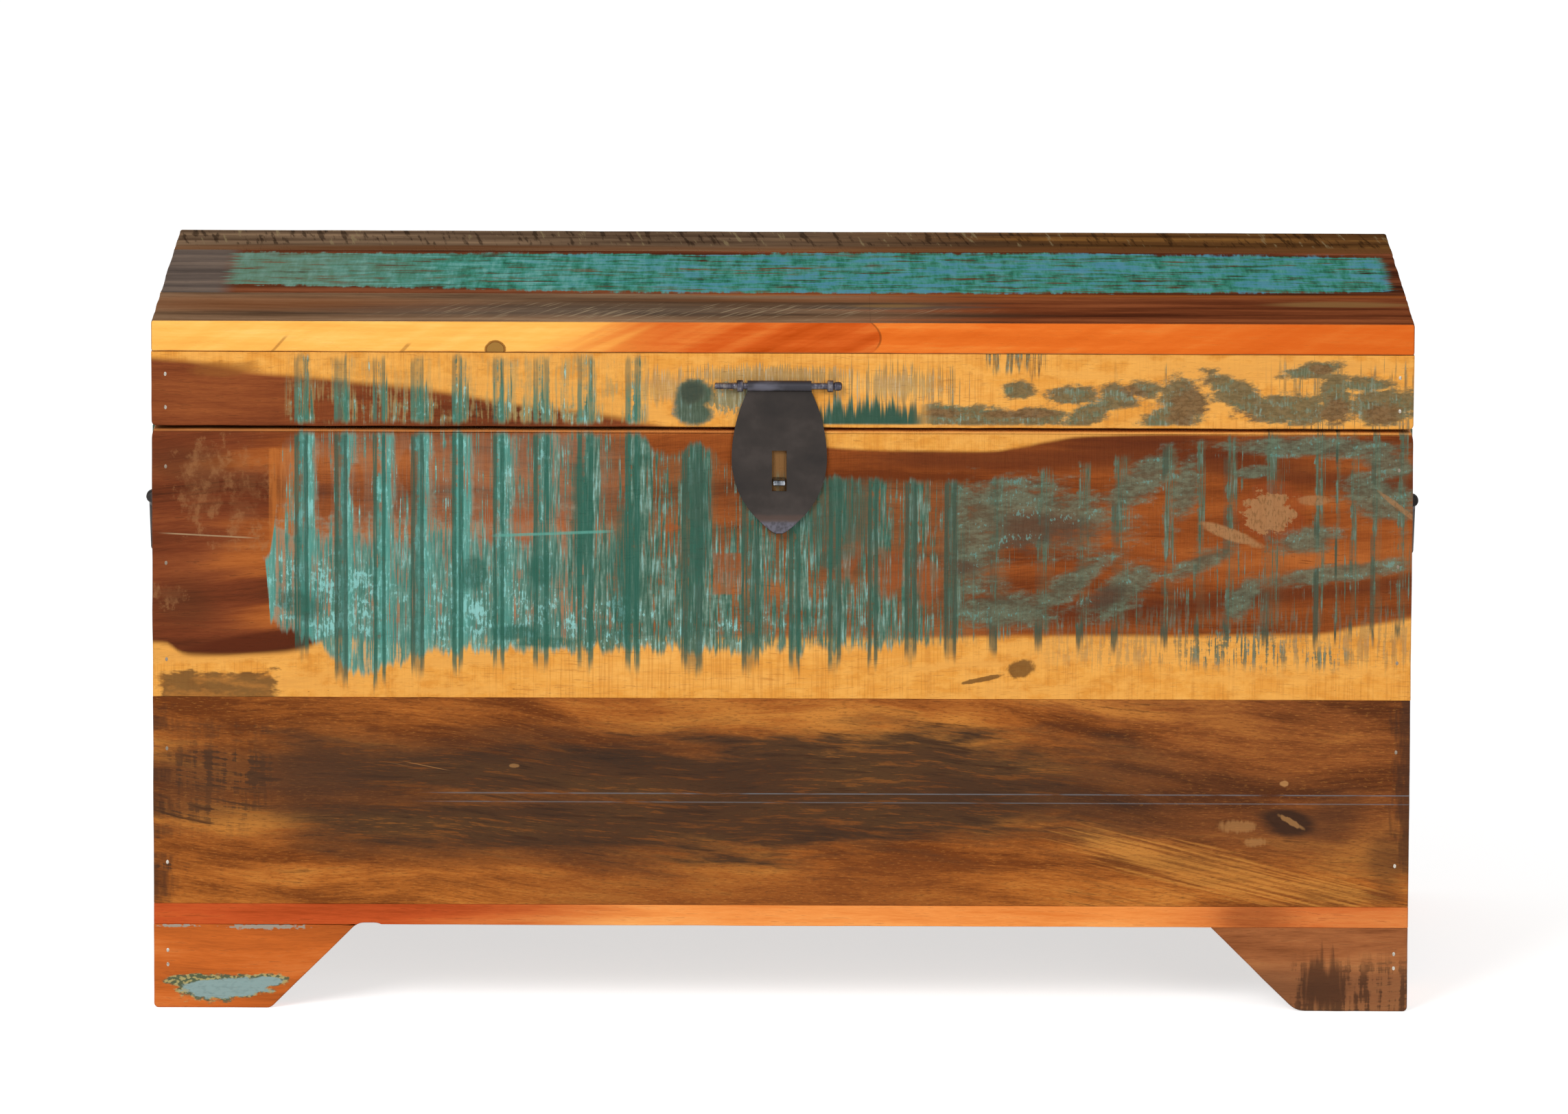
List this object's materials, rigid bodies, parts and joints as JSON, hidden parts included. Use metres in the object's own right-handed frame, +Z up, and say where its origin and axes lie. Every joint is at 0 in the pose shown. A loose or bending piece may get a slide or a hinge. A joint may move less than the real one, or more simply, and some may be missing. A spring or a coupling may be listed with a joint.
{
  "type": "storage chest",
  "caption": "Low wooden storage chest of reclaimed boards with a flat hinged lid, iron hasp and staple, drop handles at both ends and cut-out feet.",
  "frame": {"origin": "on the floor, under the middle of the chest", "axes": "+X along the chest, to the right as seen from the front; +Y from the front to the back; +Z up"},
  "size_m": [0.8218, 0.4197, 0.444],
  "materials": {
    "lid_front_wood": "waxed reclaimed board, amber with remains of teal paint",
    "lid_side_wood": "waxed reclaimed board, red brown with remains of paint",
    "front_plank_wood": "waxed reclaimed board, dark brown with saw marks",
    "middle_plank_wood": "waxed reclaimed board under worn teal paint",
    "back_plank_wood": "waxed reclaimed board, dark red brown with saw marks",
    "front_upper_wood": "waxed reclaimed board, red brown under streaks of teal paint",
    "front_lower_wood": "waxed reclaimed board, amber with smoky dark bands",
    "wall_upper_wood": "waxed reclaimed board, brown with remains of paint",
    "wall_lower_wood": "waxed reclaimed board, amber brown",
    "rail_wood": "waxed strip, orange red",
    "left_foot_wood": "waxed board, orange with a patch of blue grey paint",
    "right_foot_wood": "waxed board, dark red brown with dark streaks",
    "end_foot_wood": "waxed board, red brown",
    "inner_wood": "plain sawn wood",
    "hasp_iron": "blackened sheet and bar iron",
    "handle_iron": "blackened bar iron",
    "hinge_iron": "blackened sheet iron",
    "staple_steel": "bare bent strip, bright on its bend",
    "screw_steel": "dull zinc",
    "brad_steel": "bright brad heads"
  },
  "bodies": {
    "base": {"back_board_lower": "wall_lower_wood", "back_board_upper": "wall_upper_wood", "back_foot_left": "end_foot_wood", "back_foot_right": "end_foot_wood", "back_rail": "rail_wood", "base_brads": "brad_steel", "bottom_board_1": "inner_wood", "bottom_board_2": "inner_wood", "bottom_board_3": "inner_wood", "bottom_cleat_back": "inner_wood", "bottom_cleat_front": "inner_wood", "bottom_cleat_left": "inner_wood", "bottom_cleat_right": "inner_wood", "corner_blocks": "inner_wood", "corner_post_back_left": "inner_wood", "corner_post_back_right": "inner_wood", "corner_post_front_left": "inner_wood", "corner_post_front_right": "inner_wood", "front_board_lower": "front_lower_wood", "front_board_upper": "front_upper_wood", "front_foot_left": "left_foot_wood", "front_foot_right": "right_foot_wood", "front_rail": "rail_wood", "handle_eyes": "handle_iron", "handle_washers": "handle_iron", "hasp_staple": "staple_steel", "hinge_leaf_base_left": "hinge_iron", "hinge_leaf_base_right": "hinge_iron", "hinge_screws_base": "screw_steel", "left_board_lower": "wall_lower_wood", "left_board_upper": "wall_upper_wood", "left_foot_back": "end_foot_wood", "left_foot_front": "end_foot_wood", "left_rail": "rail_wood", "right_board_lower": "wall_lower_wood", "right_board_upper": "wall_upper_wood", "right_foot_back": "end_foot_wood", "right_foot_front": "end_foot_wood", "right_rail": "rail_wood"},
    "lid": {"hasp_eyes": "hasp_iron", "hasp_rod": "hasp_iron", "hinge_leaf_lid_left": "hinge_iron", "hinge_leaf_lid_right": "hinge_iron", "hinge_pins": "hinge_iron", "hinge_screws_lid": "screw_steel", "lid_batten_left": "inner_wood", "lid_batten_right": "inner_wood", "lid_board_back": "lid_side_wood", "lid_board_front": "lid_front_wood", "lid_board_left": "lid_side_wood", "lid_board_right": "lid_side_wood", "lid_brads": "brad_steel", "lid_plank_back": "back_plank_wood", "lid_plank_front": "front_plank_wood", "lid_plank_middle": "middle_plank_wood"},
    "hasp": {"hasp_plate": "hasp_iron"},
    "left_handle": {"left_handle_bail": "handle_iron"},
    "right_handle": {"right_handle_bail": "handle_iron"}
  },
  "joints": [
    {"name": "lid_hinge", "type": "hinge", "parent": "base", "child": "lid", "pos_m": [0, 0.2045, 0.3755], "axis": [-1, 0, 0], "range_deg": [0, 105]},
    {"name": "hasp_swing", "type": "hinge", "parent": "lid", "child": "hasp", "pos_m": [-0.002, -0.20498, 0.404], "axis": [-1, 0, 0], "range_deg": [0, 180]},
    {"name": "left_handle_swing", "type": "hinge", "parent": "base", "child": "left_handle", "pos_m": [-0.4062, 0, 0.307], "axis": [0, 1, 0], "range_deg": [-1.5, 181.5]},
    {"name": "right_handle_swing", "type": "hinge", "parent": "base", "child": "right_handle", "pos_m": [0.4062, 0, 0.307], "axis": [0, -1, 0], "range_deg": [-1.5, 181.5]}
  ]
}
